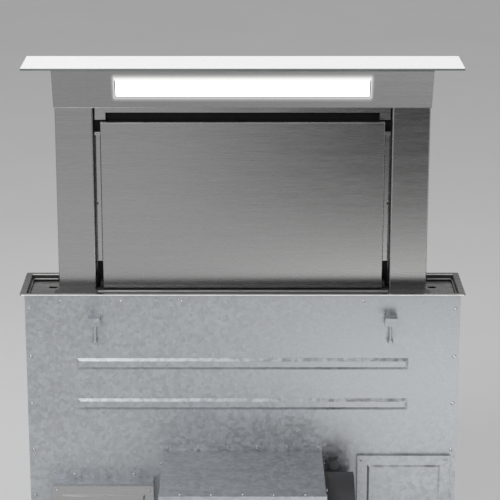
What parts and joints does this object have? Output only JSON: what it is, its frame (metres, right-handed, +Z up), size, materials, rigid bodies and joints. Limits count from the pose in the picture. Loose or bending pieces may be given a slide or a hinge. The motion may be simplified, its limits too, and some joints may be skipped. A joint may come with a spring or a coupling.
{
  "type": "downdraft range hood",
  "caption": "Downdraft hood that rises from a worktop slot, with light, suction panel, rack lift, housing and side-outlet blower.",
  "frame": {"origin": "centre of the worktop cut-out, at the level of the worktop's surface", "axes": "+X to the right as seen from the cook's side, +Y to the back, +Z up along the lift"},
  "size_m": [0.88, 0.3955, 1.15],
  "materials": {
    "galvanised_sheet": "zinc-coated sheet, satin",
    "brushed_stainless": "horizontally brushed stainless sheet",
    "black_rubber": "matt black sealing strip",
    "ground_steel": "ground and plated steel",
    "moulded_black": "moulded black, matt",
    "moulded_grey": "moulded grey, matt",
    "cast_aluminium": "cast, bead blasted",
    "painted_black": "black powder coat",
    "filter_aluminium": "expanded and rolled, satin",
    "white_glass": "white back-painted glass, polished",
    "light_opal": "opal diffuser, lit",
    "circuit_board": "green board",
    "bronze": "sintered bronze"
  },
  "bodies": {
    "housing": {"housing_front": "galvanised_sheet", "housing_back": "galvanised_sheet", "housing_left": "galvanised_sheet", "housing_right": "galvanised_sheet", "housing_base": "galvanised_sheet", "trim_frame": "brushed_stainless", "frame_seal": "black_rubber", "tray_left": "brushed_stainless", "tray_right": "brushed_stainless", "worktop_clamps": "galvanised_sheet", "guide_rods": "ground_steel", "rod_brackets": "galvanised_sheet", "racks": "ground_steel", "rack_rails": "galvanised_sheet", "foot_brackets": "galvanised_sheet", "levelling_feet": "ground_steel", "blower_box": "galvanised_sheet", "blower_cover": "galvanised_sheet", "inlet_cone": "moulded_black", "blower_scroll": "cast_aluminium", "fan_motor": "cast_aluminium", "motor_bracket": "galvanised_sheet", "duct_spigot": "moulded_black", "flap_pin": "ground_steel", "control_box": "galvanised_sheet", "control_cover": "brushed_stainless", "cable_gland": "moulded_black", "service_cover": "galvanised_sheet"},
    "tower": {"column_left": "brushed_stainless", "column_right": "brushed_stainless", "back_panel": "brushed_stainless", "head_shell": "brushed_stainless", "head_ends": "brushed_stainless", "lid_carrier": "brushed_stainless", "lid_glass": "white_glass", "light_bezel": "painted_black", "light_diffuser": "light_opal", "light_board": "circuit_board", "filter_wall": "painted_black", "recess_liner": "brushed_stainless", "filter_frames": "filter_aluminium", "filter_meshes": "filter_aluminium", "panel_catches": "brushed_stainless", "panel_pivots": "painted_black", "foot_plate": "brushed_stainless", "carriage_beam": "painted_black", "guide_block_left": "moulded_black", "guide_block_right": "moulded_black", "guide_bushes": "bronze", "lift_gearbox": "cast_aluminium", "lift_motor": "painted_black"},
    "drive": {"drive_shaft": "ground_steel", "pinions": "ground_steel"},
    "panel": {"front_panel": "brushed_stainless"},
    "fan": {"impeller": "moulded_grey", "wheel_blades": "moulded_grey", "wheel_ring": "moulded_grey", "fan_shaft": "ground_steel"},
    "damper_front": {"flap_front": "moulded_grey"},
    "damper_rear": {"flap_rear": "moulded_grey"}
  },
  "joints": [
    {"name": "lift", "type": "slide", "parent": "housing", "child": "tower", "axis": [0, 0, 1], "range_m": [-0.452, 0]},
    {"name": "drive_spin", "type": "hinge", "parent": "tower", "child": "drive", "pos_m": [0, 0.014, -0.14], "axis": [1, 0, 0], "range_deg": [-2, 1297]},
    {"name": "panel_tilt", "type": "hinge", "parent": "tower", "child": "panel", "pos_m": [0, -0.0154, 0.008], "axis": [1, 0, 0], "range_deg": [0, 5.5]},
    {"name": "fan_spin", "type": "hinge", "parent": "housing", "child": "fan", "pos_m": [-0.01, -0.15, -0.52221], "axis": [0, -1, 0], "continuous": true},
    {"name": "damper_front_swing", "type": "hinge", "parent": "housing", "child": "damper_front", "pos_m": [0.174, -0.155, -0.42071], "axis": [0, 0, 1], "range_deg": [0, 75], "stiffness_Nm_per_rad": 0.02},
    {"name": "damper_rear_swing", "type": "hinge", "parent": "housing", "child": "damper_rear", "pos_m": [0.174, -0.155, -0.42071], "axis": [0, 0, -1], "range_deg": [0, 75], "stiffness_Nm_per_rad": 0.02}
  ],
  "couplings": [
    {"joint": "drive_spin", "follows": "lift", "rad_per_m": -50}
  ]
}
